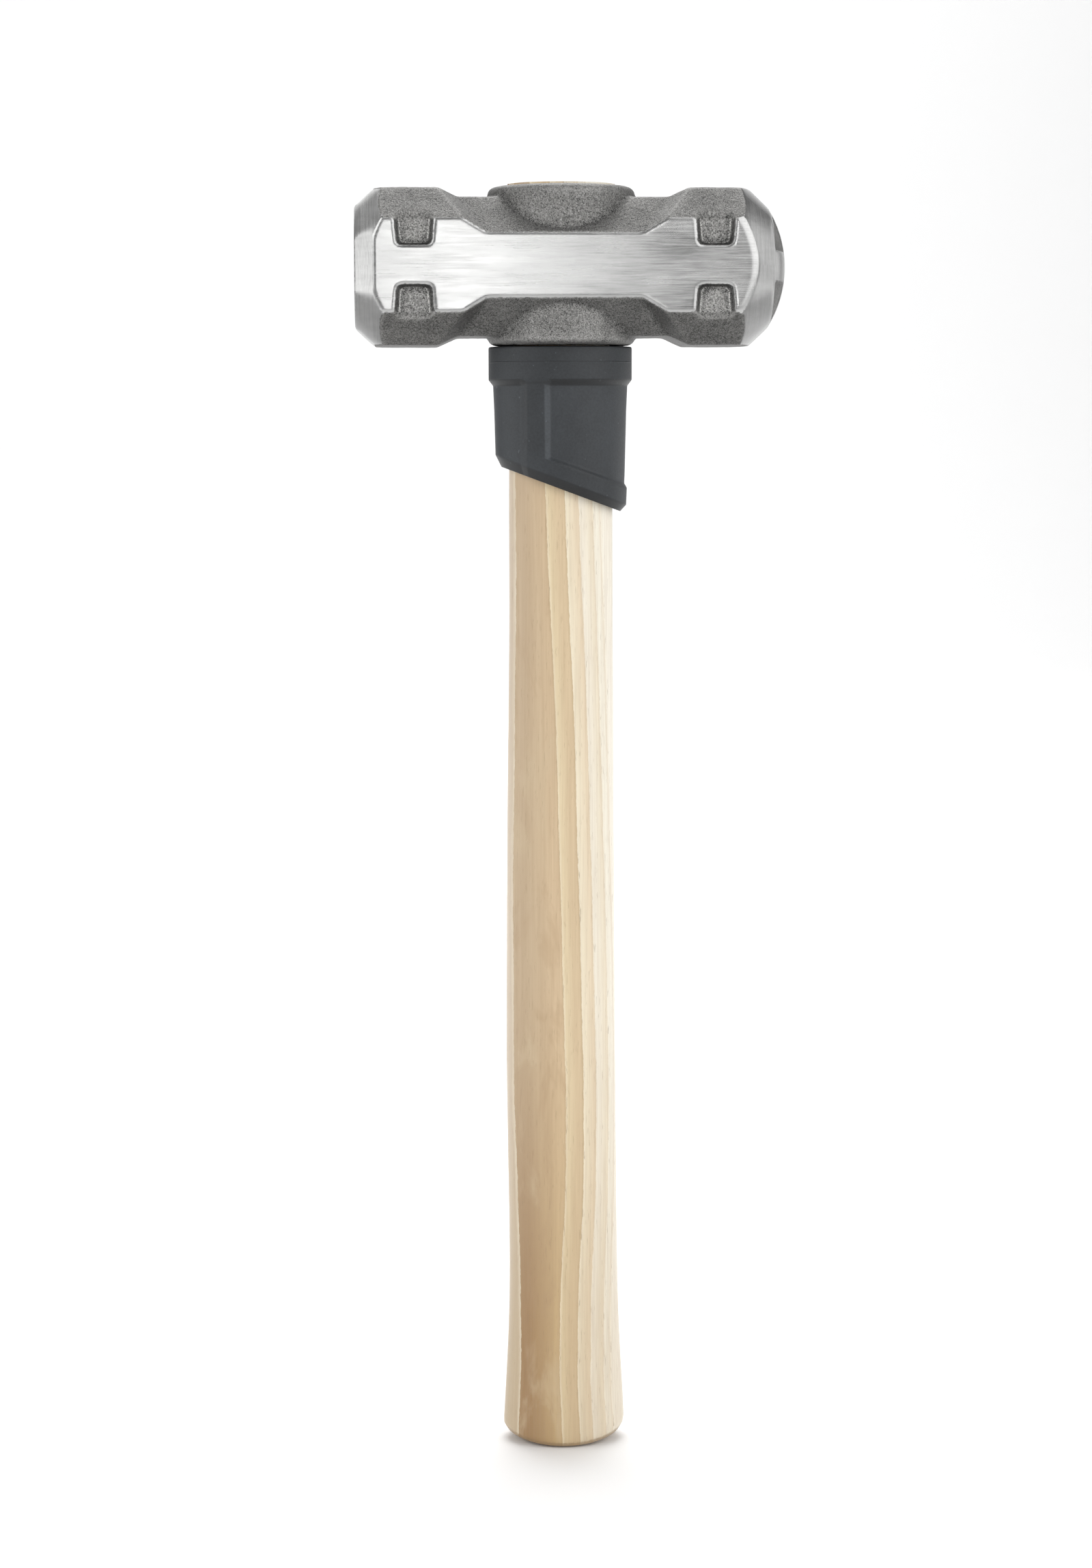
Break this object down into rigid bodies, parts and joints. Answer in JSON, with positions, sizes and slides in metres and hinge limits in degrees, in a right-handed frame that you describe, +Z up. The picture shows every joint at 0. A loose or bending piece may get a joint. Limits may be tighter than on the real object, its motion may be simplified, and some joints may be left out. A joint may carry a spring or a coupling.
{
  "type": "engineer's hammer",
  "caption": "Short-handled forged sledge hammer with a flat and a domed striking face, oval wooden handle and rubber overstrike guard.",
  "frame": {"origin": "centre of the flat middle of the handle's butt", "axes": "+Z up the handle towards the head, +X along the head from the flat face to the domed face, -Y the front"},
  "size_m": [0.1369, 0.049, 0.4104],
  "materials": {
    "forged_steel": "forged and shot-blasted, with ground flats, bevels and faces",
    "hickory": "satin lacquer over straight grain with reddish heartwood bands",
    "guard_rubber": "moulded, matt",
    "wedge_wood": "sawn flush, darkened end grain",
    "wedge_steel": "hammered-in steel, dull"
  },
  "bodies": {
    "root": {"head": "forged_steel", "handle": "hickory", "overstrike_guard": "guard_rubber", "wood_wedge": "wedge_wood", "steel_wedge_left": "wedge_steel", "steel_wedge_right": "wedge_steel"}
  },
  "joints": []
}
